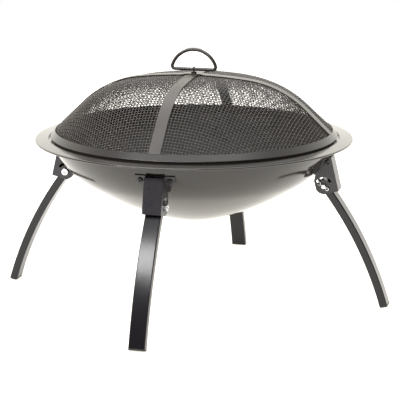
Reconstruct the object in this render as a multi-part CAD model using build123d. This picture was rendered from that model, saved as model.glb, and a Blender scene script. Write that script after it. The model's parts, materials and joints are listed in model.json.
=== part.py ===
from build123d import *
from math import asin, atan2, cos, degrees, hypot, pi, radians, sin, sqrt, tan
import os

# A round steel fire pit, 560 mm across its flange, that stands on four folding legs.
# A domed spark screen of woven wire sits in the mouth of the bowl and lifts off by a
# ring handle.  Units are millimetres, +Z is up and the origin is on the floor, under
# the middle of the bowl.  The legs and the straps of the screen lie along X and Y.
#
# Sections are drawn in a plane whose first axis is the distance from the middle of
# the bowl and whose second axis is the height.  Everything at one leg is built on +X
# and then turned to its own side.

# --- bowl ------------------------------------------------------------------------
SHEET = 1.2                     # steel sheet of the bowl and of the screen's ring
FLANGE_R = 280.0                # outer edge of the flange
FLANGE_EDGE_Z = 286.4           # top of the flange at its rolled edge
EDGE_ROLL_R = 1.7               # rolled edge of the flange
RECESS_R = 256.0                # inner edge of the flange, where the recess starts
RECESS_Z = 288.0                # top of the flange at that inner edge
LEDGE_Z = 284.3                 # ledge in the recess that the screen stands on
WALL_TOP = (250.5, 283.1)       # outside of the bowl wall, just under the ledge
KNEE = (200.0, 215.0)           # where the steep wall turns into the flatter floor
KNEE_SLOPE = 34.2               # degrees from level at the knee
DISH = (100.0, 161.6)
DISH_SLOPE = 22.0
BASE = (50.0, 144.4)
BASE_SLOPE = 16.0

# --- legs and their pivots ---------------------------------------------------------
SIDES = {"right": 0, "back": 90, "left": 180, "front": 270}
PIVOT = (237.0, 212.0)          # clevis pin, from the middle of the bowl and floor
LEG_WIDTH = 28.0                # across the tube, along the pin
LEG_DEPTH = 14.0                # through the tube, towards the bowl
LEG_WALL = 1.5
LEG_CORNER = 2.2
LEG_BEND_R = 639.4              # bend of the tube's centre line
LEG_BEND_CENTRE = (-266.8, -182.1)
LEG_TOP = 10.8                  # the tube goes on this far above the pin
FOOT_CAP = 3.0                  # thickness of the plug's cap under the tube
FOOT_DIP = 1.1                  # the cap's low corner that is worn flat on the floor
PLUG_DEPTH = 12.0
PIN_D = 8.0
PIN_HEAD_D = 12.4
PIN_HEAD_H = 2.4
PIN_HEAD_GAP = 2.2              # end play, all of it left under the head
PIN_END = 5.2                   # the pin goes on this far past the far cheek
COTTER_D = 2.0                  # wire of the split pin
COTTER_TILT = -34.0             # the split pin's lean, degrees from level

# --- brackets ----------------------------------------------------------------------
PLATE = 1.8                     # bracket sheet
LEG_SIDE_GAP = 0.4              # on each side of the leg, inside the cheeks
BRACKET_TOP = (249.0, 262.5)    # outer face of the front plate, top and bottom
BRACKET_FOOT = (262.8, 204.3)
LOBE_R = 14.2                   # cheek around the pin
SLOT_R = 13.6                   # curved slot over the pin
SLOT_WIDTH = 4.8
SLOT_FROM, SLOT_TO = 42.0, 146.0
EAR_SPAN = 34.0                 # half width over the two ears
EAR_Z = (247.5, 265.0)
TONGUE_Z = 230.0                # lower end of the tongue under the lower screw
EAR_SCREW = (25.0, 257.5)       # sideways and height of the ear screws
LOW_SCREW = (0.0, 238.0)
SCREW_D = 5.0
SCREW_HOLE_D = 5.3
SCREW_HEAD_D = 9.0
SCREW_HEAD_H = 2.6
NUT_FLATS = 8.0
NUT_H = 3.6

# --- spark screen ------------------------------------------------------------------
RING_TOP = (244.6, 301.4)       # top of the ring's outer face
RING_BEAD = (250.9, 291.0)      # middle of the bead along the ring's lower edge
RING_BEAD_R = 1.6
SKIRT_R = 251.0                 # outside of the skirt that stands on the ledge
MESH = 1.8                      # thickness of the woven wire cloth
DOME_TOP_Z = 395.0
DOME_CAP_R = 800.0              # flat middle of the dome
DOME_CAP_END = 100.0
DOME_TURN = (201.0, 340.9)      # the curved shoulder ends here, in a cone
DOME_CONE_SLOPE = 43.5
MESH_EDGE_R = 243.6
STRAP_WIDTH = 20.0
STRAP = 1.5
STRAP_GAP = 0.25                # between the cloth and the straps
JOGGLE = 13.0                   # half length of the upper strap's raised middle
JOGGLE_RAMP = 8.0

# --- handle ------------------------------------------------------------------------
ROD_D = 5.9
BAR_Z = 405.0                   # middle of the handle's straight bar, its hinge line
ARCH_R = 41.3                   # bend of the arched part, along its middle
ARCH_DROP = 6.8                 # centre of the arch under the bar
HANDLE_CORNER_R = 5.0
EYE_WIRE_R = 1.0
EYE_R = 4.3                     # middle of the eye's wire from the bar's middle
EYE_STEM_D = 5.0
COLLAR_D = 9.6
HANDLE_NUT_H = 4.0
WASHER_D, WASHER_H = 14.0, 1.2

FIT = 0.05                      # running clearance of pins, on the radius
NEAR = 0.02                     # faces of pieces that lie against each other


def slope_arc(start, end, turn):
    """Arc between two points that climbs by turn degrees more at its end."""
    dx, dz = end[0] - start[0], end[1] - start[1]
    sag = tan(radians(turn / 4)) / 2
    middle = (start[0] + dx / 2 + sag * dz, start[1] + dz / 2 - sag * dx)
    return ThreePointArc(start, middle, end)


def chord_slope(start, end):
    """Angle of the line between two points, in degrees from level."""
    return degrees(atan2(end[1] - start[1], end[0] - start[0]))


def sheet_face(edges, thickness):
    """Closed section of a sheet: a path, and its offset to the left of the way."""
    path = Wire(edges)
    return make_face(path.offset_2d(thickness, side=Side.LEFT, closed=True).edges())


def turned(section):
    """Solid of revolution about Z from a section in the radius and height plane."""
    return revolve(Plane.XZ * section, Axis.Z, 360)


def plate_across(section, width):
    """Extrude a radius and height section to both sides of the XZ plane."""
    return extrude(Plane.XZ * section, width / 2, both=True)


def cross_hole(place, diameter, width):
    """Cylinder along Y through a point of the radius and height plane."""
    spot = Pos(place[0], 0, place[1]) * Rot(X=90)
    return spot * Cylinder(diameter / 2, width)


# The bowl wall over the knee is one arc, and the brackets are bent to the same arc.
WALL_TURN = 2 * (chord_slope(KNEE, WALL_TOP) - KNEE_SLOPE)
WALL_R = hypot(WALL_TOP[0] - KNEE[0], WALL_TOP[1] - KNEE[1]) / 2 / sin(radians(WALL_TURN / 2))
WALL_CENTRE = (
    KNEE[0] - WALL_R * sin(radians(KNEE_SLOPE)),
    KNEE[1] + WALL_R * cos(radians(KNEE_SLOPE)),
)


def wall_radius(z, lift=0.0):
    """Radius of the outside of the bowl wall at a height, or of a face over it."""
    return WALL_CENTRE[0] + sqrt((WALL_R + lift) ** 2 - (WALL_CENTRE[1] - z) ** 2)


def wall_plane(side, z, lift=0.0):
    """Plane that touches the bowl wall, its Z axis pointing out of the bowl."""
    r = wall_radius(z)
    around = asin(side / r)
    out_r, out_z = (r - WALL_CENTRE[0]) / WALL_R, (z - WALL_CENTRE[1]) / WALL_R
    normal = Vector(out_r * cos(around), out_r * sin(around), out_z)
    origin = Vector(r * cos(around), side, z) + normal * lift
    return Plane(origin=origin, x_dir=(-sin(around), cos(around), 0), z_dir=normal)


SCREW_SPOTS = [(EAR_SCREW[0], EAR_SCREW[1]), (-EAR_SCREW[0], EAR_SCREW[1]), LOW_SCREW]


def hex_nut(flats, height, bore):
    nut = extrude(RegularPolygon(flats / 2, 6, major_radius=False), height)
    crown = Cone(flats * 0.86, flats * 0.5, height * 1.9, align=(Align.CENTER, Align.CENTER, Align.MIN))
    hole = Cylinder(bore / 2, height * 3)
    return (nut & crown) - hole


def make_bowl():
    start = (0.0, BASE[1] - BASE[0] * tan(radians(BASE_SLOPE / 2)))
    edges = [
        slope_arc(start, BASE, BASE_SLOPE),
        slope_arc(BASE, DISH, DISH_SLOPE - BASE_SLOPE),
        slope_arc(DISH, KNEE, KNEE_SLOPE - DISH_SLOPE),
        slope_arc(KNEE, WALL_TOP, WALL_TURN),
    ]
    ledge_low = LEDGE_Z - SHEET
    fall = (RECESS_Z - FLANGE_EDGE_Z) / (FLANGE_R - EDGE_ROLL_R - RECESS_R)
    under = RECESS_Z - SHEET
    corner = (RECESS_R + SHEET, under - fall * SHEET)
    edge = (FLANGE_R - EDGE_ROLL_R, under - fall * (FLANGE_R - EDGE_ROLL_R - RECESS_R))
    edges += Polyline(WALL_TOP, (RECESS_R + SHEET, ledge_low), corner, edge).edges()
    wall = sheet_face(edges, SHEET)
    roll_spot = (FLANGE_R - EDGE_ROLL_R, FLANGE_EDGE_Z - EDGE_ROLL_R)
    roll = Pos(*roll_spot) * Circle(EDGE_ROLL_R)
    bowl = turned(wall + roll)
    for angle in SIDES.values():
        for side, z in SCREW_SPOTS:
            hole = wall_plane(side, z) * Cylinder(SCREW_HOLE_D / 2, 12)
            bowl -= Rot(Z=angle) * hole
    return bowl


def front_inner(z):
    """Radius of the inner face of the bracket's front plate at a height."""
    lean = (BRACKET_FOOT[0] - BRACKET_TOP[0]) / (BRACKET_TOP[1] - BRACKET_FOOT[1])
    return BRACKET_FOOT[0] - (z - BRACKET_FOOT[1]) * lean - PLATE * sqrt(1 + lean * lean)


def cheek_outline():
    """Side view of the bracket: front plate on the right, the bowl on the left."""
    lobe_low = (PIVOT[0] + 1.5, PIVOT[1] - LOBE_R)
    lobe_side = (PIVOT[0] - LOBE_R + 0.6, PIVOT[1] - 7.0)
    lobe_turn = (PIVOT[0] - 9.0, PIVOT[1] - 11.6)
    back = (PIVOT[0] - 17.6, PIVOT[1] + 8.5)
    wall_low = (wall_radius(TONGUE_Z + 4, NEAR), TONGUE_Z + 4)
    wall_high = (wall_radius(BRACKET_TOP[1], NEAR), BRACKET_TOP[1])
    wall_mid_z = (wall_low[1] + wall_high[1]) / 2
    wall_mid = (wall_radius(wall_mid_z, NEAR), wall_mid_z)
    edges = [
        Line(BRACKET_TOP, BRACKET_FOOT),
        Line(BRACKET_FOOT, (254.0, 202.2)),
        Line((254.0, 202.2), lobe_low),
        ThreePointArc(lobe_low, lobe_turn, lobe_side),
        Line(lobe_side, back),
        Line(back, wall_low),
        ThreePointArc(wall_low, wall_mid, wall_high),
        Line(wall_high, BRACKET_TOP),
    ]
    return make_face(edges)


def arc_slot():
    """Curved slot over the pin, as a face in the radius and height plane."""
    slot = SlotArc(
        CenterArc((0, 0), SLOT_R, SLOT_FROM, SLOT_TO - SLOT_FROM).edges()[0], SLOT_WIDTH
    )
    return Pos(*PIVOT) * slot


def make_bracket():
    outer = LEG_WIDTH + 2 * (LEG_SIDE_GAP + PLATE)
    inner = outer - 2 * PLATE
    channel = plate_across(cheek_outline(), outer)
    low, high = PIVOT[1] - 40, BRACKET_TOP[1] + 40
    room = Polygon(
        (100, low), (front_inner(low), low), (front_inner(high), high), (100, high), align=None
    )
    channel -= plate_across(room, inner)

    band = make_face(
        [
            CenterArc(WALL_CENTRE, WALL_R + NEAR, -70, 70).edges()[0],
            Line(
                (WALL_CENTRE[0] + WALL_R + NEAR, WALL_CENTRE[1]),
                (WALL_CENTRE[0] + WALL_R + NEAR + PLATE, WALL_CENTRE[1]),
            ),
            CenterArc(WALL_CENTRE, WALL_R + NEAR + PLATE, -70, 70).edges()[0],
            Line(
                (
                    WALL_CENTRE[0] + (WALL_R + NEAR) * cos(radians(-70)),
                    WALL_CENTRE[1] + (WALL_R + NEAR) * sin(radians(-70)),
                ),
                (
                    WALL_CENTRE[0] + (WALL_R + NEAR + PLATE) * cos(radians(-70)),
                    WALL_CENTRE[1] + (WALL_R + NEAR + PLATE) * sin(radians(-70)),
                ),
            ),
        ]
    )
    shell = Rot(Z=-15) * revolve(Plane.XZ * band, Axis.Z, 30)
    ears = Polygon(
        (-EAR_SPAN - 0.5, EAR_Z[1]),
        (-EAR_SPAN, EAR_Z[0] + 7),
        (-EAR_SPAN + 7, EAR_Z[0]),
        (-outer / 2, EAR_Z[0] - 3),
        (-outer / 2 + 5, TONGUE_Z),
        (outer / 2 - 5, TONGUE_Z),
        (outer / 2, EAR_Z[0] - 3),
        (EAR_SPAN - 7, EAR_Z[0]),
        (EAR_SPAN, EAR_Z[0] + 7),
        (EAR_SPAN + 0.5, EAR_Z[1]),
        align=None,
    )
    saddle = shell & extrude(Plane.YZ * ears, 400)

    bracket = channel + saddle
    bracket -= cross_hole(PIVOT, PIN_D + 2 * FIT, outer + 10)
    bracket -= plate_across(arc_slot(), outer + 10)
    bracket -= cross_hole((243.6, 252.4), 3.2, outer + 10)
    for side, z in SCREW_SPOTS:
        bracket -= wall_plane(side, z) * Cylinder(SCREW_HOLE_D / 2, 12)
    return bracket


def make_screws():
    """The three screws of one bracket, heads outside the bowl."""
    group = []
    grip = SHEET + PLATE + NEAR
    for side, z in SCREW_SPOTS:
        seat = wall_plane(side, z, PLATE + 2 * NEAR)
        head = Cylinder(SCREW_HEAD_D / 2, SCREW_HEAD_H, align=(Align.CENTER, Align.CENTER, Align.MIN))
        head = fillet(head.edges().group_by(Axis.Z)[-1], 1.1)
        length = grip + NUT_H + 2.4
        shank = Cylinder(SCREW_D / 2, length, align=(Align.CENTER, Align.CENTER, Align.MAX))
        socket = Pos(0, 0, SCREW_HEAD_H - 1.3) * extrude(RegularPolygon(1.6, 6), 3)
        group.append(seat * (head + shank - socket))
    return group


def make_nuts():
    group = []
    for side, z in SCREW_SPOTS:
        seat = wall_plane(side, z, -SHEET - 0.14)
        nut = hex_nut(NUT_FLATS, NUT_H, SCREW_D + 2 * FIT)
        group.append(seat * (Rot(X=180) * nut))
    return group


def make_clevis_pin():
    """Pin along Y with its dished head on the +Y side, and a hole for the split pin."""
    outer = LEG_WIDTH + 2 * (LEG_SIDE_GAP + PLATE)
    head_at = outer / 2 + PIN_HEAD_GAP
    length = head_at + outer / 2 + PIN_END
    shank = Cylinder(PIN_D / 2, length, align=(Align.CENTER, Align.CENTER, Align.MAX))
    shank = chamfer(shank.edges().group_by(Axis.Z)[0], 0.8)
    head = Cylinder(PIN_HEAD_D / 2, PIN_HEAD_H, align=(Align.CENTER, Align.CENTER, Align.MIN))
    head = fillet(head.edges().group_by(Axis.Z)[-1], 0.7)
    dish = Pos(0, 0, PIN_HEAD_H + 8.4) * Sphere(9.0)
    pin = shank + head - dish
    pin = Pos(PIVOT[0], head_at, PIVOT[1]) * Rot(X=-90) * pin
    return pin - cotter_place() * Cylinder(COTTER_D / 2 + FIT, PIN_D * 3)


def cotter_place():
    """Where the split pin crosses the clevis pin, its Z axis along the split pin."""
    outer = LEG_WIDTH + 2 * (LEG_SIDE_GAP + PLATE)
    y = -(outer / 2 + PIN_END - 2.2)
    return Pos(PIVOT[0], y, PIVOT[1]) * Rot(Y=90 - COTTER_TILT)


def make_split_pin():
    """Round eye on one side of the clevis pin, two spread ends on the other."""
    wire = COTTER_D / 2
    reach = PIN_D / 2 + 1.0
    shank = Cylinder(wire, 2 * reach)
    eye = Pos(0, 0, reach + 2.3) * Rot(X=90) * Torus(2.4, 0.85)
    pin = shank + eye
    for spread in (-28, 28):
        prong = Cylinder(0.75, 6.5, align=(Align.CENTER, Align.CENTER, Align.MAX))
        pin += Pos(0, 0, -reach + 0.7) * Rot(Y=spread) * prong
    return cotter_place() * pin


def bend_angle(place):
    """Direction from the leg's bend centre to a point, in degrees."""
    return degrees(atan2(place[1] - LEG_BEND_CENTRE[1], place[0] - LEG_BEND_CENTRE[0]))


LEG_TOP_ANGLE = bend_angle(PIVOT) + degrees(LEG_TOP / LEG_BEND_R)


def floor_angle():
    """Bend angle at which the plug's low corner dips FOOT_DIP under the floor."""
    inner = LEG_BEND_R - LEG_DEPTH / 2
    return degrees(asin((-FOOT_DIP - LEG_BEND_CENTRE[1]) / inner))


FOOT_ANGLE = floor_angle()
TUBE_END_ANGLE = FOOT_ANGLE + degrees(FOOT_CAP / LEG_BEND_R)


def bent_bar(width, depth, corner, low, high):
    """Bar of a rounded section, bent round the leg's bend centre between two angles."""
    centre = (LEG_BEND_CENTRE[0], 0, LEG_BEND_CENTRE[1])
    a = radians(low)
    origin = (centre[0] + LEG_BEND_R * cos(a), 0, centre[2] + LEG_BEND_R * sin(a))
    plane = Plane(origin=origin, x_dir=(0, 1, 0), z_dir=(-sin(a), 0, cos(a)))
    section = plane * RectangleRounded(width, depth, corner)
    return revolve(section, Axis(centre, (0, -1, 0)), high - low)


def make_leg_tube():
    tube = bent_bar(LEG_WIDTH, LEG_DEPTH, LEG_CORNER, TUBE_END_ANGLE, LEG_TOP_ANGLE)
    bore = bent_bar(
        LEG_WIDTH - 2 * LEG_WALL,
        LEG_DEPTH - 2 * LEG_WALL,
        LEG_CORNER - 1.2,
        TUBE_END_ANGLE - 1,
        LEG_TOP_ANGLE + 1,
    )
    return tube - bore - cross_hole(PIVOT, PIN_D + 2 * FIT, LEG_WIDTH + 10)


def make_foot_plug():
    cap = bent_bar(LEG_WIDTH, LEG_DEPTH, LEG_CORNER, FOOT_ANGLE, TUBE_END_ANGLE - 0.002)
    stem = bent_bar(
        LEG_WIDTH - 2 * LEG_WALL - 0.2,
        LEG_DEPTH - 2 * LEG_WALL - 0.2,
        LEG_CORNER - 1.3,
        TUBE_END_ANGLE - 0.05,
        TUBE_END_ANGLE + degrees(PLUG_DEPTH / LEG_BEND_R),
    )
    floor = Pos(0, 0, -50) * Box(2000, 2000, 100)
    return cap + stem - floor


def make_lid_ring():
    """Sloping band with a bead along its lower edge and a short skirt under it."""
    lean = chord_slope(RING_TOP, RING_BEAD)
    out = (RING_BEAD_R * sin(radians(-lean)), RING_BEAD_R * cos(radians(-lean)))
    foot = (RING_BEAD[0] + out[0], RING_BEAD[1] + out[1])
    band = sheet_face(Polyline(foot, RING_TOP).edges(), SHEET)
    bead = Pos(*RING_BEAD) * Circle(RING_BEAD_R)
    skirt_height = RING_BEAD[1] - LEDGE_Z - NEAR
    skirt = Pos(SKIRT_R - SHEET / 2, LEDGE_Z + NEAR + skirt_height / 2) * Rectangle(SHEET, skirt_height)
    return turned(band + bead + skirt)


def dome_path(lift, edge_r):
    """The dome's section from its middle to its edge, lifted off the cloth."""
    cap_slope = degrees(asin(DOME_CAP_END / DOME_CAP_R))
    cap_z = DOME_TOP_Z - DOME_CAP_R * (1 - cos(radians(cap_slope)))
    cap_end = (
        DOME_CAP_END + lift * sin(radians(cap_slope)),
        cap_z + lift * cos(radians(cap_slope)),
    )
    turn_end = (
        DOME_TURN[0] + lift * sin(radians(DOME_CONE_SLOPE)),
        DOME_TURN[1] + lift * cos(radians(DOME_CONE_SLOPE)),
    )
    edge_z = turn_end[1] - (edge_r - turn_end[0]) * tan(radians(DOME_CONE_SLOPE))
    return [
        slope_arc((0, DOME_TOP_Z + lift), cap_end, -cap_slope),
        slope_arc(cap_end, turn_end, cap_slope - DOME_CONE_SLOPE),
        Line(turn_end, (edge_r, edge_z)),
    ]


def make_mesh_dome():
    """The woven cloth as one closed shell of its own thickness."""
    path = dome_path(-MESH, MESH_EDGE_R - MESH * sin(radians(DOME_CONE_SLOPE)))
    dome = turned(sheet_face(path, MESH))
    return dome - Pos(0, 0, DOME_TOP_Z) * Cylinder(EYE_STEM_D / 2 + 0.3, 20)


def band_section(outer, inner):
    """Closed section between two open paths that run side by side."""
    ends = [Line(outer[0] @ 0, inner[0] @ 0), Line(outer[-1] @ 1, inner[-1] @ 1)]
    return make_face(outer + inner + ends)


def make_strap(raised):
    """Flat band over the dome along X; the upper one is raised over the lower."""
    under = dome_path(STRAP_GAP, RING_TOP[0] + 2.0)
    over = dome_path(STRAP_GAP + STRAP, RING_TOP[0] + 2.0 + STRAP)
    if raised:
        under = joggled(under, DOME_TOP_Z + STRAP_GAP, 0.0)
        over = joggled(over, DOME_TOP_Z + STRAP_GAP + STRAP, STRAP)
    strap = plate_across(band_section(over, under), STRAP_WIDTH)
    strap -= Pos(0, 0, RING_TOP[1] + NEAR - 100) * Cylinder(400, 200)
    strap += mirror(strap, Plane.YZ)
    strap -= Pos(0, 0, DOME_TOP_Z) * Cylinder(EYE_STEM_D / 2 + 0.15, 20)
    return strap


def joggled(path, top, lift):
    """The path with its first stretch stepped up over the strap that it crosses."""
    flat_z = top + STRAP + NEAR
    end_r = JOGGLE + JOGGLE_RAMP
    cap_r = DOME_CAP_R + STRAP_GAP + lift
    slope = asin(end_r / cap_r)
    end_z = top - cap_r * (1 - cos(slope))
    cap_end = ((path[0] @ 1).X, (path[0] @ 1).Y)
    cap_turn = chord_slope((end_r, end_z), cap_end) * 2 + 2 * degrees(slope)
    rest = slope_arc((end_r, end_z), cap_end, cap_turn)
    return [
        Line((0, flat_z), (JOGGLE, flat_z)),
        Line((JOGGLE, flat_z), (end_r, end_z)),
        rest,
    ] + path[1:]


def make_handle():
    """Rod bent to a D and closed at the middle of its bar, upright over the dome."""
    half = sqrt(ARCH_R**2 - ARCH_DROP**2)
    centre_z = BAR_Z - ARCH_DROP
    arch = ThreePointArc((-half, BAR_Z), (0, centre_z + ARCH_R), (half, BAR_Z))
    bar = Line((-half, BAR_Z), (half, BAR_Z))
    loop = make_face([arch, bar])
    loop = fillet(loop.vertices(), HANDLE_CORNER_R)
    wire = (Plane.XZ * loop).face().outer_wire()
    start = Plane(origin=(0, 0, BAR_Z), x_dir=(0, 1, 0), z_dir=(1, 0, 0))
    return sweep(start * Circle(ROD_D / 2), path=wire)


def strap_top():
    return DOME_TOP_Z + STRAP_GAP + 2 * STRAP + NEAR


def make_handle_eye():
    """Eye round the handle's bar, with a collar on the straps and a stem through them."""
    eye = Pos(0, 0, BAR_Z) * Rot(Y=90) * Torus(EYE_R, EYE_WIRE_R)
    base = strap_top() + NEAR
    collar_top = BAR_Z - ROD_D / 2 - 0.75
    collar = Pos(0, 0, base) * Cylinder(
        COLLAR_D / 2, collar_top - base, align=(Align.CENTER, Align.CENTER, Align.MIN)
    )
    stem_end = DOME_TOP_Z - MESH - WASHER_H - HANDLE_NUT_H - 2.0
    stem = Pos(0, 0, stem_end) * Cylinder(
        EYE_STEM_D / 2, base - stem_end + 0.5, align=(Align.CENTER, Align.CENTER, Align.MIN)
    )
    room = Pos(0, 0, BAR_Z) * Rot(Y=90) * Cylinder(ROD_D / 2 + 0.3, 30)
    return eye + collar + stem - room


def make_handle_nut():
    """Washer and nut under the cloth, as two solids of one node."""
    top = DOME_TOP_Z - MESH - 0.05
    ring = Pos(0, 0, top - WASHER_H) * Cylinder(
        WASHER_D / 2, WASHER_H, align=(Align.CENTER, Align.CENTER, Align.MIN)
    )
    ring -= Pos(0, 0, top) * Cylinder(EYE_STEM_D / 2 + 0.2, 20)
    nut = hex_nut(NUT_FLATS, HANDLE_NUT_H, EYE_STEM_D + 2 * FIT)
    nut = Pos(0, 0, top - WASHER_H - NEAR) * Rot(X=180) * nut
    return [ring, nut]


def save(name, *solids):
    """Write one node; a node of several loose solids is kept as a group."""
    shape = solids[0] if len(solids) == 1 else Compound(children=list(solids))
    shape.label = name
    export_step(shape, f"parts/{name}.step")


def main():
    os.makedirs("parts", exist_ok=True)
    ring = make_lid_ring()
    save("bowl", make_bowl())
    save("lid_ring", ring)
    save("mesh_dome", make_mesh_dome())
    save("strap_lower", Rot(Z=90) * make_strap(raised=False))
    save("strap_upper", make_strap(raised=True))
    save("handle_ring", make_handle())
    save("handle_eye", make_handle_eye())
    save("handle_nut", *make_handle_nut())

    bracket, screws, nuts = make_bracket(), make_screws(), make_nuts()
    pin, cotter = make_clevis_pin(), make_split_pin()
    tube, plug = make_leg_tube(), make_foot_plug()
    for side, angle in SIDES.items():
        turn = Rot(Z=angle)
        save(f"bracket_{side}", turn * bracket)
        save(f"bracket_screws_{side}", *[turn * s for s in screws])
        save(f"bracket_nuts_{side}", *[turn * n for n in nuts])
        save(f"clevis_pin_{side}", turn * pin)
        save(f"split_pin_{side}", turn * cotter)
        save(f"leg_tube_{side}", turn * tube)
        save(f"foot_plug_{side}", turn * plug)


main()
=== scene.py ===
import json
import logging
import math
from dataclasses import dataclass
from enum import Enum

import bpy
import numpy as np
from mathutils import Matrix, Vector

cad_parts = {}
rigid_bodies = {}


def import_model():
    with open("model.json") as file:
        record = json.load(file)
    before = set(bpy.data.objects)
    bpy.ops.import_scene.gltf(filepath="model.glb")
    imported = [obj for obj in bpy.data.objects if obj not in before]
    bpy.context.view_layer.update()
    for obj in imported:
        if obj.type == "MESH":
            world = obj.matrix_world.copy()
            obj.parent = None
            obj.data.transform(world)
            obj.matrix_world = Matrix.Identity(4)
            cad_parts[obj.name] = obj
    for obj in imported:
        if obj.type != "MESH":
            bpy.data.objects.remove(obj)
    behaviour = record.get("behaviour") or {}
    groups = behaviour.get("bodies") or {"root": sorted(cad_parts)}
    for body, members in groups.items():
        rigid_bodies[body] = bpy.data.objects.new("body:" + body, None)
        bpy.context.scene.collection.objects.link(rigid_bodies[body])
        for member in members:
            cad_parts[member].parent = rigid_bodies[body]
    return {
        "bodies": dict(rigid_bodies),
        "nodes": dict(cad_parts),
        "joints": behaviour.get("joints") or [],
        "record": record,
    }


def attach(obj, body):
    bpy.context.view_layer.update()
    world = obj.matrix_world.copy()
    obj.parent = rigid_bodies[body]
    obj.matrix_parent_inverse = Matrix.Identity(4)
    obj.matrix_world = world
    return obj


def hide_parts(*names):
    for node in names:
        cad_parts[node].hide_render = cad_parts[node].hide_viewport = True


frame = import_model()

# A folding fire pit: a painted sheet bowl on four curved tube legs, with a lift-off spark screen
# of woven wire. Everything is in metres, Z up, with the origin on the floor under the bowl.

LOG = logging.getLogger("fire_pit")
MM = 0.001
SIDES = ("right", "back", "left", "front")
# Points nearer to the axis than this, in metres, are on it.
ON_AXIS = 1e-7
# Noise values seldom leave this band, so colour and roughness are spread over it.
PATCH_LOW, PATCH_HIGH = 0.3, 0.7
TINT_LOW, TINT_HIGH = 0.35, 0.72
DRAWN_STRETCH = (1.0, 1.0, 6.0)


def linear(code: str) -> tuple[float, float, float, float]:
    """Turn an sRGB hex colour into linear light.

    Args:
        code: six hex digits, with or without a leading hash.

    Returns:
        Red, green, blue and an alpha of one.
    """
    digits = code.lstrip("#")
    parts = [int(digits[i:i + 2], 16) / 255 for i in (0, 2, 4)]
    light = [c / 12.92 if c <= 0.04045 else ((c + 0.055) / 1.055) ** 2.4 for c in parts]
    return (light[0], light[1], light[2], 1.0)


def add_node(tree: bpy.types.NodeTree, kind: str, settings: dict | None = None,
             links: dict | None = None, values: dict | None = None) -> bpy.types.Node:
    """Add a shader node, with its settings, its socket values and its incoming links.

    Args:
        tree: the node tree that the node goes into.
        kind: the node's type name.
        settings: attributes of the node itself, by name.
        links: output sockets to connect, by the name or number of the input they feed.
        values: constants for input sockets, by name or number.

    Returns:
        The new node.
    """
    node = tree.nodes.new(kind)
    for name, value in (settings or {}).items():
        setattr(node, name, value)
    for name, value in (values or {}).items():
        node.inputs[name].default_value = value
    for name, source in (links or {}).items():
        tree.links.new(source, node.inputs[name])
    return node


def ramp(tree: bpy.types.NodeTree, source: bpy.types.NodeSocket,
         stops: list[tuple[float, tuple]]) -> bpy.types.Node:
    """Add a colour ramp with the given stops.

    Args:
        tree: the node tree that the ramp goes into.
        source: the socket that drives it.
        stops: positions from 0 to 1 with their linear colours.

    Returns:
        The ramp node.
    """
    node = add_node(tree, "ShaderNodeValToRGB", links={"Fac": source})
    band = node.color_ramp
    while len(band.elements) < len(stops):
        band.elements.new(1.0)
    for element, (place, colour) in zip(band.elements, stops):
        element.position = place
        element.color = colour
    return node


class Grain(Enum):
    """The way that a surface's fine relief looks."""

    ORANGE_PEEL = "orange peel"
    SPANGLE = "spangle"
    DRAWN = "drawn"
    MOULDED = "moulded"


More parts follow.
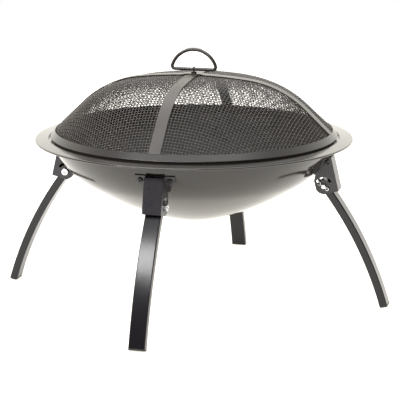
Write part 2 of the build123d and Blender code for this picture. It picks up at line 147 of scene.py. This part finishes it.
@dataclass(frozen=True)
class Finish:
    """One real finish, made as a procedural material.

    Attributes:
        name: what the finish is and how it was made.
        colour: the main sRGB colour.
        shade: a second sRGB colour that patches of the surface drift towards.
        metallic: how far the surface reflects as a metal.
        rough: the lowest roughness.
        rough_spread: how much rougher its dullest patches are.
        grain: the kind of fine relief.
        grain_mm: the size of that relief.
        relief_mm: its height.
        patch_mm: the size of the colour and roughness patches.
        coat: the weight of a clear coat.
        coat_rough: the clear coat's roughness.
        ior: the index of refraction, kept at the default on metals.
    """

    name: str
    colour: str
    shade: str
    metallic: float = 0.0
    rough: float = 0.3
    rough_spread: float = 0.08
    grain: Grain = Grain.ORANGE_PEEL
    grain_mm: float = 2.0
    relief_mm: float = 0.01
    patch_mm: float = 60.0
    coat: float = 0.0
    coat_rough: float = 0.05
    ior: float = 1.5

    def build(self) -> bpy.types.Material:
        """Make the material.

        Returns:
            The material, ready to assign.
        """
        material = bpy.data.materials.new(self.name)
        material.use_nodes = True
        tree = material.node_tree
        tree.nodes.clear()
        place = add_node(tree, "ShaderNodeTexCoord").outputs["Object"]
        patches = add_node(tree, "ShaderNodeTexNoise", links={"Vector": place},
                           values={"Scale": 1 / (self.patch_mm * MM), "Detail": 4.0,
                                   "Roughness": 0.55})
        tint = ramp(tree, patches.outputs["Fac"],
                    [(TINT_LOW, linear(self.colour)), (TINT_HIGH, linear(self.shade))])
        dull = add_node(tree, "ShaderNodeMapRange", links={"Value": patches.outputs["Fac"]},
                        values={"From Min": PATCH_LOW, "From Max": PATCH_HIGH,
                                "To Min": self.rough,
                                "To Max": self.rough + self.rough_spread})
        bump = add_node(tree, "ShaderNodeBump", links={"Height": self.relief(tree, place)},
                        values={"Strength": 1.0, "Distance": self.relief_mm * MM})
        skin = add_node(tree, "ShaderNodeBsdfPrincipled",
                        links={"Base Color": tint.outputs["Color"],
                               "Roughness": dull.outputs["Result"],
                               "Normal": bump.outputs["Normal"]},
                        values={"Metallic": self.metallic, "IOR": self.ior,
                                "Coat Weight": self.coat, "Coat Roughness": self.coat_rough})
        add_node(tree, "ShaderNodeOutputMaterial", links={"Surface": skin.outputs["BSDF"]})
        return material

    def relief(self, tree: bpy.types.NodeTree,
               place: bpy.types.NodeSocket) -> bpy.types.NodeSocket:
        """Add the nodes of the fine relief.

        Args:
            tree: the material's node tree.
            place: the object coordinates.

        Returns:
            The height socket.
        """
        scale = 1 / (self.grain_mm * MM)
        if self.grain is Grain.SPANGLE:
            cells = add_node(tree, "ShaderNodeTexVoronoi", links={"Vector": place},
                             values={"Scale": scale})
            return cells.outputs["Distance"]
        if self.grain is Grain.DRAWN:
            stretched = add_node(tree, "ShaderNodeMapping", links={"Vector": place},
                                 values={"Scale": DRAWN_STRETCH})
            lines = add_node(tree, "ShaderNodeTexNoise",
                             links={"Vector": stretched.outputs["Vector"]},
                             values={"Scale": scale, "Detail": 3.0})
            return lines.outputs["Fac"]
        detail = 6.0 if self.grain is Grain.MOULDED else 1.5
        bumps = add_node(tree, "ShaderNodeTexNoise", links={"Vector": place},
                         values={"Scale": scale, "Detail": detail})
        return bumps.outputs["Fac"]


# Satin black stove enamel, sprayed on pressed sheet and baked: nearly black face on, but its smooth
# skin picks up a pale sheen wherever it is seen at a low angle. Slightly wavy like sprayed enamel,
# with ripples 1.6 mm wide and under a hundredth of a millimetre high.
SATIN_ENAMEL = Finish(
    "satin_black_enamel_sprayed", colour="#1e1a15", shade="#1a1713", rough=0.11,
    rough_spread=0.04, grain_mm=1.6, relief_mm=0.0008, patch_mm=120.0, ior=1.55)
# Painted shade inside the bowl: a near-black matt colour on the inside faces stands in for the
# shade that fills the fire space, so that it stays dark.
INSIDE_PAINTED_SHADE = Finish(
    "painted_shade_inside_bowl", colour="#100e0c", shade="#171411", rough=0.5, rough_spread=0.15,
    grain=Grain.MOULDED, grain_mm=1.2, relief_mm=0.01, patch_mm=80.0)
# The same enamel on the rolled ring, a little duller.
RING_ENAMEL = Finish(
    "satin_black_enamel_on_ring", colour="#1f1b18", shade="#1a1715", rough=0.26,
    rough_spread=0.05, grain_mm=1.4, relief_mm=0.0015, patch_mm=60.0)
# Thin grey-brown enamel over the flat straps: paler, as the flat steel takes a thinner coat.
STRAP_ENAMEL = Finish(
    "grey_enamel_on_strap", colour="#322e29", shade="#2b2723", metallic=0.05, rough=0.32,
    rough_spread=0.06, grain=Grain.DRAWN, grain_mm=1.5, relief_mm=0.002, patch_mm=30.0)
# Woven steel wire dipped in the same black enamel: small round glints along every wire. Its drawing
# lines are too fine to show, so they are drawn 1 mm apart.
WIRE_ENAMEL = Finish(
    "black_enamel_on_woven_wire", colour="#3b3632", shade="#2f2b28", rough=0.24,
    rough_spread=0.1, grain=Grain.DRAWN, grain_mm=1.0, relief_mm=0.006, patch_mm=30.0)
# Stoved gloss enamel on steel tube: very smooth and deep, so it mirrors the lights sharply.
GLOSS_ENAMEL = Finish(
    "gloss_black_enamel_stoved", colour="#121014", shade="#0f0d10", rough=0.18,
    rough_spread=0.05, grain_mm=3.0, relief_mm=0.001, patch_mm=60.0, ior=1.42)
# The same enamel over the folded brackets' coarser sheet: a little greyer and less glossy.
BRACKET_ENAMEL = Finish(
    "gloss_black_enamel_on_bracket", colour="#211f24", shade="#1c1a1e", rough=0.24,
    rough_spread=0.08, grain_mm=2.0, relief_mm=0.002, patch_mm=30.0)
# Enamel on the bent rod, a little browner and duller than the legs.
ROD_ENAMEL = Finish(
    "brown_black_enamel_dipped", colour="#28231f", shade="#1f1b19", rough=0.24,
    rough_spread=0.08, grain_mm=2.0, relief_mm=0.005, patch_mm=20.0)
# Zinc plate on small hardware: bright and cool, with a fine crystalline spangle. The real crystals
# are too fine to show, so they are drawn 0.8 mm wide.
ZINC_PLATE = Finish(
    "zinc_electroplated", colour="#e4e5e6", shade="#cfd1d2", metallic=1.0, rough=0.22,
    rough_spread=0.1, grain=Grain.SPANGLE, grain_mm=0.8, relief_mm=0.006, patch_mm=6.0)
# Black oxide on screws and nuts: dark, slightly oily, with a small clear highlight. Its crystals
# are drawn 0.6 mm wide, coarser than real ones, so that they show.
BLACK_OXIDE = Finish(
    "black_oxide_dipped", colour="#1d1d1e", shade="#141414", metallic=0.4, rough=0.26,
    rough_spread=0.1, grain=Grain.SPANGLE, grain_mm=0.6, relief_mm=0.004, patch_mm=5.0)
# Moulded polyethylene foot plugs: soft black with a fine moulded texture, drawn 0.9 mm wide.
FOOT_POLYETHYLENE = Finish(
    "polyethylene_moulded", colour="#191919", shade="#222222", rough=0.5, rough_spread=0.12,
    grain=Grain.MOULDED, grain_mm=0.9, relief_mm=0.02, patch_mm=8.0)


@dataclass(frozen=True)
class Panel:
    """One soft light panel that faces the bowl.

    Attributes:
        name: the light's name.
        azimuth: its turn from straight in front, in degrees.
        elevation: its height above the horizon, in degrees.
        distance: its distance from the bowl, in metres.
        size: its width and height in metres.
        power: its power in watts.
    """

    name: str
    azimuth: float
    elevation: float
    distance: float
    size: tuple[float, float]
    power: float


def bearing(azimuth: float, elevation: float) -> Vector:
    """Point from the pit towards something around it.

    Args:
        azimuth: its turn from straight in front, in degrees.
        elevation: its height above the horizon, in degrees.

    Returns:
        A unit vector.
    """
    turn, rise = math.radians(azimuth), math.radians(elevation)
    return Vector((math.sin(turn) * math.cos(rise), -math.cos(turn) * math.cos(rise),
                   math.sin(rise)))


@dataclass
class Studio:
    """The plain floor, the soft lights and the camera.

    Attributes:
        azimuth: the camera's turn from straight in front, in degrees.
        elevation: its height above the horizon, in degrees.
        distance: from the target to the camera, in metres.
        target_z: the height of the target on the pit's axis.
        pan, tilt, roll: small turns of the camera about itself, in degrees.
        film: the width of the camera's frame, in millimetres.
        lens: the focal length, in millimetres.
        floor_half: half the floor's width, in metres.
        floor_glow: how much the lit acrylic floor gives off by itself.
        aim_z: the height that the light panels face, in metres.
        surround: the strength of the light from the surround.
        round_stops: the surround's light from behind the pit round to its front.
        zenith: the surround's light from above.
        zenith_from, zenith_to: the sines of the heights where the light turns into the zenith's.
        panels: the soft lights.
    """

    azimuth: float = 15.33129
    elevation: float = 10.81514
    distance: float = 2.683845
    target_z: float = 0.286136
    pan: float = -0.21935
    tilt: float = -2.42183
    roll: float = 0.10751
    film: float = 36.0
    lens: float = 136.48941
    floor_half: float = 3.2
    floor_glow: float = 0.95
    aim_z: float = 0.22
    surround: float = 2.0
    round_stops: tuple = ((0.0, (1.0, 0.975, 0.90, 1)), (0.35, (0.80, 0.78, 0.72, 1)),
                          (0.62, (0.26, 0.25, 0.235, 1)), (0.8, (0.05, 0.049, 0.048, 1)))
    zenith: tuple = (0.45, 0.45, 0.46, 1)
    zenith_from: float = 0.5
    zenith_to: float = 0.8
    panels: tuple = (Panel("front_panel", -14, 36, 2.6, (2.6, 0.42), 80.0),
                     Panel("overhead_panel", 180, 84, 5.0, (7.0, 7.0), 360.0))

    def place_camera(self) -> None:
        """Create the camera and make it the scene's own."""
        turn = math.radians(self.azimuth)
        away = bearing(self.azimuth, self.elevation)
        ahead = -away
        right = Vector((math.cos(turn), math.sin(turn), 0.0))
        up = right.cross(ahead)
        spin = Matrix.Rotation(math.radians(self.pan), 3, up)
        ahead, right = spin @ ahead, spin @ right
        lift = Matrix.Rotation(math.radians(self.tilt), 3, right)
        ahead, up = lift @ ahead, lift @ up
        twist = Matrix.Rotation(math.radians(self.roll), 3, ahead)
        right, up = twist @ right, twist @ up
        camera = bpy.data.objects.new("camera", bpy.data.cameras.new("camera"))
        bpy.context.scene.collection.objects.link(camera)
        frame = Matrix((right, up, -ahead)).transposed().to_4x4()
        frame.translation = Vector((0.0, 0.0, self.target_z)) + away * self.distance
        camera.matrix_world = frame
        camera.data.lens = self.lens
        camera.data.sensor_width = self.film
        camera.data.clip_start = 0.05
        camera.data.clip_end = 200.0
        bpy.context.scene.camera = camera

    def lay_floor(self) -> None:
        """Lay the plain pale floor."""
        mesh = bpy.data.meshes.new("floor")
        s = self.floor_half
        mesh.from_pydata([(-s, -s, 0), (s, -s, 0), (s, s, 0), (-s, s, 0)], [], [(0, 1, 2, 3)])
        floor = bpy.data.objects.new("floor", mesh)
        bpy.context.scene.collection.objects.link(floor)
        material = bpy.data.materials.new("studio_floor_paint")
        material.use_nodes = True
        skin = material.node_tree.nodes["Principled BSDF"]
        skin.inputs["Base Color"].default_value = linear("#bdbcbb")
        skin.inputs["Roughness"].default_value = 0.85
        skin.inputs["Specular IOR Level"].default_value = 0.1
        skin.inputs["Emission Color"].default_value = linear("#fffaee")
        skin.inputs["Emission Strength"].default_value = self.floor_glow
        mesh.materials.append(material)

    def hang(self, panel: Panel) -> None:
        """Hang one soft light panel.

        Args:
            panel: the panel's place, size and power.
        """
        light = bpy.data.lights.new(panel.name, "AREA")
        light.shape = "RECTANGLE"
        light.size, light.size_y = panel.size
        light.energy = panel.power
        lamp = bpy.data.objects.new(panel.name, light)
        bpy.context.scene.collection.objects.link(lamp)
        away = bearing(panel.azimuth, panel.elevation)
        lamp.location = Vector((0.0, 0.0, self.aim_z)) + away * panel.distance
        lamp.rotation_mode = "QUATERNION"
        lamp.rotation_quaternion = away.to_track_quat("Z", "Y")

    def light_world(self) -> None:
        """Make the surround: white to look at, but its light falls off towards the front."""
        world = bpy.data.worlds.new("studio")
        bpy.context.scene.world = world
        world.use_nodes = True
        tree = world.node_tree
        tree.nodes.clear()
        place = add_node(tree, "ShaderNodeTexCoord").outputs["Generated"]
        turn = math.radians(self.azimuth)
        facing = add_node(tree, "ShaderNodeVectorMath", {"operation": "DOT_PRODUCT"},
                          {0: place}, {1: (math.sin(turn), -math.cos(turn), 0.0)})
        spread = add_node(tree, "ShaderNodeMapRange", links={"Value": facing.outputs["Value"]},
                          values={"From Min": -1.0, "From Max": 1.0})
        around = ramp(tree, spread.outputs["Result"], list(self.round_stops))
        height = add_node(tree, "ShaderNodeSeparateXYZ", links={"Vector": place})
        above = add_node(tree, "ShaderNodeMapRange", {"interpolation_type": "SMOOTHSTEP"},
                         {"Value": height.outputs["Z"]},
                         {"From Min": self.zenith_from, "From Max": self.zenith_to})
        dome = add_node(tree, "ShaderNodeMix", {"data_type": "RGBA"},
                        {0: above.outputs["Result"], 6: around.outputs["Color"]},
                        {7: self.zenith})
        light = add_node(tree, "ShaderNodeBackground", links={"Color": dome.outputs[2]},
                         values={"Strength": self.surround})
        white = add_node(tree, "ShaderNodeBackground",
                         values={"Color": (1, 1, 1, 1), "Strength": 1.0})
        seen = add_node(tree, "ShaderNodeLightPath").outputs["Is Camera Ray"]
        mixed = add_node(tree, "ShaderNodeMixShader",
                         links={0: seen, 1: light.outputs[0], 2: white.outputs[0]})
        add_node(tree, "ShaderNodeOutputWorld", links={"Surface": mixed.outputs[0]})

    def build(self) -> None:
        """Build the whole studio."""
        self.place_camera()
        self.lay_floor()
        self.light_world()
        for panel in self.panels:
            self.hang(panel)
        bpy.context.scene.view_settings.view_transform = "Standard"
        LOG.info("studio: floor, camera and %d panels", len(self.panels))


@dataclass
class WovenScreen:
    """The domed wire cloth of the spark screen, every wire modelled.

    Attributes:
        top: the height of the cloth's outer side at its middle.
        cap_radius: the radius of the gently crowned middle.
        cap_reach: how far the middle reaches from the axis.
        turn: the place where the shoulder meets the cone, as radius and height.
        slope: the cone's slope in degrees.
        edge: how far the wires reach from the axis.
        pitch: the distance between wires along the cloth.
        wire: the wire's diameter.
        sides: the number of flats round a wire.
        touch: how much of a wire's radius it rises and dips, just short of one.
        proud: how far the wires' crowns stand out of the cloth's nominal skin.
        end_gap: the least distance from a wire's last bend to its end, in pitches.
        side_gap: the least distance from the outermost wire to the edge, in pitches.
        longest: a length that is surely more than the cloth's own.
    """

    top: float = 0.395
    cap_radius: float = 0.8
    cap_reach: float = 0.1
    turn: tuple[float, float] = (0.201, 0.3409)
    slope: float = 43.5
    edge: float = 0.2434
    pitch: float = 5.9 * MM
    wire: float = 1.3 * MM
    sides: int = 6
    touch: float = 0.98
    proud: float = 0.08 * MM
    end_gap: float = 0.15
    side_gap: float = 0.4
    longest: float = 0.35

    def section(self, reach: np.ndarray) -> tuple[np.ndarray, np.ndarray, np.ndarray]:
        """Radius, height and slope of the cloth's outer side at distances along it.

        Args:
            reach: distances from the middle, measured along the cloth.

        Returns:
            Radii, heights and slopes in radians.
        """
        first = math.asin(self.cap_reach / self.cap_radius)
        cap_length = first * self.cap_radius
        cap_z = self.top - self.cap_radius * (1 - math.cos(first))
        last = math.radians(self.slope)
        chord = math.hypot(self.turn[0] - self.cap_reach, cap_z - self.turn[1])
        bend = chord / 2 / math.sin((last - first) / 2)
        bend_length = bend * (last - first)
        angle_cap = reach / self.cap_radius
        angle_bend = first + (reach - cap_length) / bend
        along = reach - cap_length - bend_length
        centre = (self.cap_reach - bend * math.sin(first), cap_z - bend * math.cos(first))
        radius = np.where(reach < cap_length, self.cap_radius * np.sin(angle_cap),
                          centre[0] + bend * np.sin(angle_bend))
        height = np.where(reach < cap_length, self.top - self.cap_radius * (1 - np.cos(angle_cap)),
                          centre[1] + bend * np.cos(angle_bend))
        slope = np.where(reach < cap_length, angle_cap, angle_bend)
        cone = along > 0
        radius = np.where(cone, self.turn[0] + along * math.cos(last), radius)
        height = np.where(cone, self.turn[1] - along * math.sin(last), height)
        slope = np.where(cone, last, slope)
        return radius, height, slope

    def length(self) -> float:
        """Return the cloth's length from its middle to its edge."""
        reach = np.linspace(0.0, self.longest, 7001)
        radius, _, _ = self.section(reach)
        return float(np.interp(self.edge, radius, reach))

    def wires(self, across: bool) -> tuple[np.ndarray, list[tuple[int, int]]]:
        """Centre lines of all wires that run one way.

        Args:
            across: True for the wires along X, False for those along Y.

        Returns:
            The points as rows of place and surface normal, and each wire's first row and count.
        """
        limit = self.length()
        rows, spans, start = [], [], 0
        count = int(limit / self.pitch)
        for number in range(-count - 1, count + 1):
            level = (number + 0.5) * self.pitch
            if abs(level) > limit - self.pitch * self.side_gap:
                continue
            half = math.sqrt(limit**2 - level**2)
            steps = int(half / self.pitch * 2)
            inner = np.arange(-steps, steps + 1) * self.pitch / 2
            inner = inner[np.abs(inner) < half - self.pitch * self.end_gap]
            run = np.concatenate([[-half], inner, [half]])
            crossing = np.cos((run / self.pitch - 0.5) * math.pi)
            lift = crossing * (1 if number % 2 else -1) * (1 if across else -1)
            u, v = (run, np.full_like(run, level)) if across else (np.full_like(run, level), run)
            reach = np.hypot(u, v)
            radius, height, slope = self.section(reach)
            turn = np.arctan2(v, u)
            out = np.stack([np.cos(turn), np.sin(turn)], axis=1)
            normal = np.column_stack([out * np.sin(slope)[:, None], np.cos(slope)])
            depth = (lift - 1.0) * self.wire / 2 * self.touch - self.wire / 2 + self.proud
            place = np.column_stack([out * radius[:, None], height]) + normal * depth[:, None]
            rows.append(np.column_stack([place, normal]))
            spans.append((start, len(run)))
            start += len(run)
        return np.concatenate(rows), spans

    def tube_mesh(self, name: str, rows: np.ndarray,
                  spans: list[tuple[int, int]]) -> bpy.types.Mesh:
        """Give every wire its round section.

        Args:
            name: the mesh's name.
            rows: places and normals of the centre lines.
            spans: each wire's first row and count.

        Returns:
            One mesh of closed round wires.
        """
        turns = np.arange(self.sides) / self.sides * 2 * math.pi
        points, faces = [], []
        for start, count in spans:
            place, normal = rows[start:start + count, :3], rows[start:start + count, 3:]
            ahead = np.gradient(place, axis=0)
            ahead /= np.linalg.norm(ahead, axis=1)[:, None]
            side = np.cross(ahead, normal)
            side /= np.linalg.norm(side, axis=1)[:, None]
            up = np.cross(side, ahead)
            ring = (up[:, None] * np.cos(turns)[None, :, None]
                    + side[:, None] * np.sin(turns)[None, :, None])
            body = place[:, None] + ring * self.wire / 2
            base = start * self.sides
            points.append(body.reshape(-1, 3))
            index = base + np.arange(count * self.sides).reshape(count, self.sides)
            here, there = index[:-1], index[1:]
            quads = np.stack([here, there, np.roll(there, -1, 1), np.roll(here, -1, 1)], axis=2)
            faces.extend(quads.reshape(-1, 4).tolist())
            faces.append(index[0].tolist())
            faces.append(index[-1][::-1].tolist())
        mesh = bpy.data.meshes.new(name)
        mesh.from_pydata(np.concatenate(points).tolist(), [], faces)
        mesh.polygons.foreach_set("use_smooth", [len(f) == 4 for f in faces])
        mesh.update()
        return mesh

    def build(self, material: bpy.types.Material) -> None:
        """Weave the screen out of its two sets of wires.

        Args:
            material: the wire's finish.
        """
        for name, across in (("screen_weft_wires", True), ("screen_warp_wires", False)):
            mesh = self.tube_mesh(name, *self.wires(across))
            mesh.materials.append(material)
            wires = bpy.data.objects.new(name, mesh)
            bpy.context.scene.collection.objects.link(wires)
            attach(wires, "lid")
            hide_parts("mesh_dome")
            LOG.info("%s: %d faces", name, len(mesh.polygons))


@dataclass
class PressedBowl:
    """The sheet bowl as one clean spun surface, with its recess, flange and rolled edge.

    Its sizes are in millimetres, as on a drawing.

    Attributes:
        sheet: the sheet's thickness.
        stations: places on the outside, as radius, height and the slope in degrees there.
        wall_top: the outside of the wall just under the ledge.
        ledge_z: the top of the ledge that the screen stands on.
        recess: the flange's inner edge, as radius and height.
        rim: the flange's outer edge, as radius and height of its top.
        roll: the radius of the rolled edge.
        soft: the rounding of the recess's corners.
        segments: the number of steps round the bowl.
        arc_steps: the number of steps along each arc of the wall.
        bead_step: the turn between points round the rolled edge, in degrees.
        crease: edges sharper than this many degrees stay sharp.
        shade_inset: how far the painted shade stops short of the wall's top.
        upward: faces whose normals rise more than this are inside, and get the painted shade.
    """

    sheet: float = 1.2
    stations: tuple = ((0.0, 137.3729, 0.0), (50.0, 144.4, 16.0), (100.0, 161.6, 22.0),
                       (200.0, 215.0, 34.2))
    wall_top: tuple[float, float] = (250.5, 283.1)
    ledge_z: float = 284.3
    recess: tuple[float, float] = (256.0, 288.0)
    rim: tuple[float, float] = (280.0, 286.4)
    roll: float = 1.7
    soft: float = 0.5
    segments: int = 256
    arc_steps: int = 14
    bead_step: int = 15
    crease: float = 40.0
    shade_inset: float = 1.5
    upward: float = 0.1

    def outside(self) -> list[tuple[float, float, float]]:
        """Walk the outside of the pressed floor and wall.

        Returns:
            Radii, heights and slopes in radians, from the middle to the wall's top.
        """
        ends = list(self.stations)
        last = ends[-1]
        lean = math.degrees(math.atan2(self.wall_top[1] - last[1], self.wall_top[0] - last[0]))
        ends.append((*self.wall_top, 2 * lean - last[2]))
        walk = []
        for (r0, z0, s0), (r1, z1, s1) in zip(ends, ends[1:]):
            a0, a1 = math.radians(s0), math.radians(s1)
            bend = math.hypot(r1 - r0, z1 - z0) / 2 / math.sin((a1 - a0) / 2)
            for step in range(self.arc_steps):
                a = a0 + (a1 - a0) * step / self.arc_steps
                walk.append((r0 + bend * (math.sin(a) - math.sin(a0)),
                             z0 + bend * (math.cos(a0) - math.cos(a)), a))
        walk.append((*self.wall_top, math.radians(ends[-1][2])))
        return walk

    def section(self) -> list[tuple[float, float]]:
        """Outline of the sheet: up the inside, over the flange and its rolled edge, and back down.

        Returns:
            Radii and heights in millimetres.
        """
        walk = self.outside()
        inside = [(max(r - self.sheet * math.sin(a), 0.0), z + self.sheet * math.cos(a))
                  for r, z, a in walk]
        outside = [(r, z) for r, z, _ in walk]
        reach, rim_r = self.recess[0], self.rim[0] - self.roll
        fall = (self.recess[1] - self.rim[1]) / (rim_r - reach)
        top = [(reach - 0.02, self.ledge_z + 0.05), (reach, self.ledge_z + self.soft),
               (reach, self.recess[1] - self.soft), (reach + self.soft, self.recess[1])]
        top += [(reach + (rim_r - reach) * t, self.recess[1] - fall * (rim_r - reach) * t)
                for t in (0.1, 0.35, 0.65, 0.9)]
        centre = (rim_r, self.rim[1] - self.roll)
        # The edge rolls three quarters of a turn, from its top round the outside to the inside.
        turns = [math.radians(90 - turn) for turn in range(0, 271, self.bead_step)]
        bead = [(centre[0] + self.roll * math.cos(t), centre[1] + self.roll * math.sin(t))
                for t in turns]
        under_z = self.recess[1] - self.sheet
        back = [(reach + (rim_r - reach) * t, under_z - fall * (rim_r - reach) * t)
                for t in (0.88, 0.6, 0.3, 0.1)]
        back += [(reach + self.sheet, under_z - 0.3), (reach + self.sheet, self.ledge_z - 0.9),
                 (reach + self.sheet - 0.4, self.ledge_z - self.sheet)]
        ledge = [(inside[-1][0] + 0.6, self.ledge_z)]
        under_ledge = [(self.wall_top[0] + 0.4, self.ledge_z - self.sheet)]
        return inside + ledge + top + bead + back + under_ledge + outside[::-1]

    def build(self, material: bpy.types.Material, inside_shade: bpy.types.Material) -> None:
        """Spin the section into the bowl.

        Args:
            material: the enamel outside and on the rim.
            inside_shade: the painted shade inside, a near-black colour for the shade that fills the
                bowl.
        """
        outline = np.array(self.section()) * MM
        turns = np.arange(self.segments) / self.segments * 2 * math.pi
        inner = [i for i, (r, _) in enumerate(outline) if r > ON_AXIS]
        points = [(0.0, 0.0, float(z)) for r, z in outline if r <= ON_AXIS]
        poles = len(points)
        for i in inner:
            r, z = outline[i]
            points.extend(zip((r * np.cos(turns)).tolist(), (r * np.sin(turns)).tolist(),
                              [float(z)] * self.segments))
        n, faces = self.segments, []
        for row in range(len(inner) - 1):
            base = poles + row * n
            for k in range(n):
                j = (k + 1) % n
                faces.append((base + k, base + n + k, base + n + j, base + j))
        first, last = poles, poles + (len(inner) - 1) * n
        for k in range(n):
            j = (k + 1) % n
            faces.append((0, first + k, first + j))
            faces.append((1, last + j, last + k))
        mesh = bpy.data.meshes.new("bowl_enamelled")
        mesh.from_pydata(points, [], faces)
        mesh.polygons.foreach_set("use_smooth", [True] * len(faces))
        mesh.set_sharp_from_angle(angle=math.radians(self.crease))
        mesh.materials.append(material)
        mesh.materials.append(inside_shade)
        # Painted shade: faces that look up, inside the wall, get the near-black colour that stands
        # for the shade in the bowl.
        shade_reach = (self.wall_top[0] - self.shade_inset) * MM
        for face in mesh.polygons:
            inside = face.normal.z > self.upward and face.center.xy.length < shade_reach
            face.material_index = int(inside)
        bowl = bpy.data.objects.new("bowl_enamelled", mesh)
        bpy.context.scene.collection.objects.link(bowl)
        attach(bowl, "bowl")
        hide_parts("bowl")
        LOG.info("bowl_enamelled: %d faces", len(faces))


def dress(node: bpy.types.Object, material: bpy.types.Material) -> None:
    """Give a pressed or turned piece its finish.

    Args:
        node: the piece.
        material: its finish.
    """
    node.data.materials.clear()
    node.data.materials.append(material)
    LOG.info("%s: %s", node.name, material.name)


@dataclass
class PaintShop:
    """Which finish every pressed, bent and turned piece gets."""

    nodes: dict

    def build(self) -> tuple[bpy.types.Material, bpy.types.Material]:
        """Dress the pieces.

        Returns:
            The enamels of the bowl and of the wire.
        """
        satin, strap = SATIN_ENAMEL.build(), STRAP_ENAMEL.build()
        enamel, zinc = GLOSS_ENAMEL.build(), ZINC_PLATE.build()
        oxide, foot = BLACK_OXIDE.build(), FOOT_POLYETHYLENE.build()
        rod, bracket = ROD_ENAMEL.build(), BRACKET_ENAMEL.build()
        plan = {"bowl": satin, "lid_ring": RING_ENAMEL.build(), "strap_lower": strap,
                "strap_upper": strap, "handle_ring": rod, "handle_eye": rod,
                "handle_nut": zinc}
        for side in SIDES:
            plan.update({f"bracket_{side}": bracket, f"leg_tube_{side}": enamel,
                         f"bracket_screws_{side}": oxide, f"bracket_nuts_{side}": oxide,
                         f"clevis_pin_{side}": zinc, f"split_pin_{side}": zinc,
                         f"foot_plug_{side}": foot})
        wire = WIRE_ENAMEL.build()
        plan["mesh_dome"] = wire
        for name, material in plan.items():
            dress(self.nodes[name], material)
        return satin, wire


def main() -> None:
    """Build the studio, dress the pit and weave its screen."""
    logging.basicConfig(level=logging.INFO, format="%(name)s: %(message)s")
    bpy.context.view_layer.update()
    Studio().build()
    satin, wire = PaintShop(frame["nodes"]).build()
    # The bowl's second material is painted shade for its inside.
    PressedBowl().build(satin, INSIDE_PAINTED_SHADE.build())
    WovenScreen().build(wire)


if __name__ == "__main__":
    main()
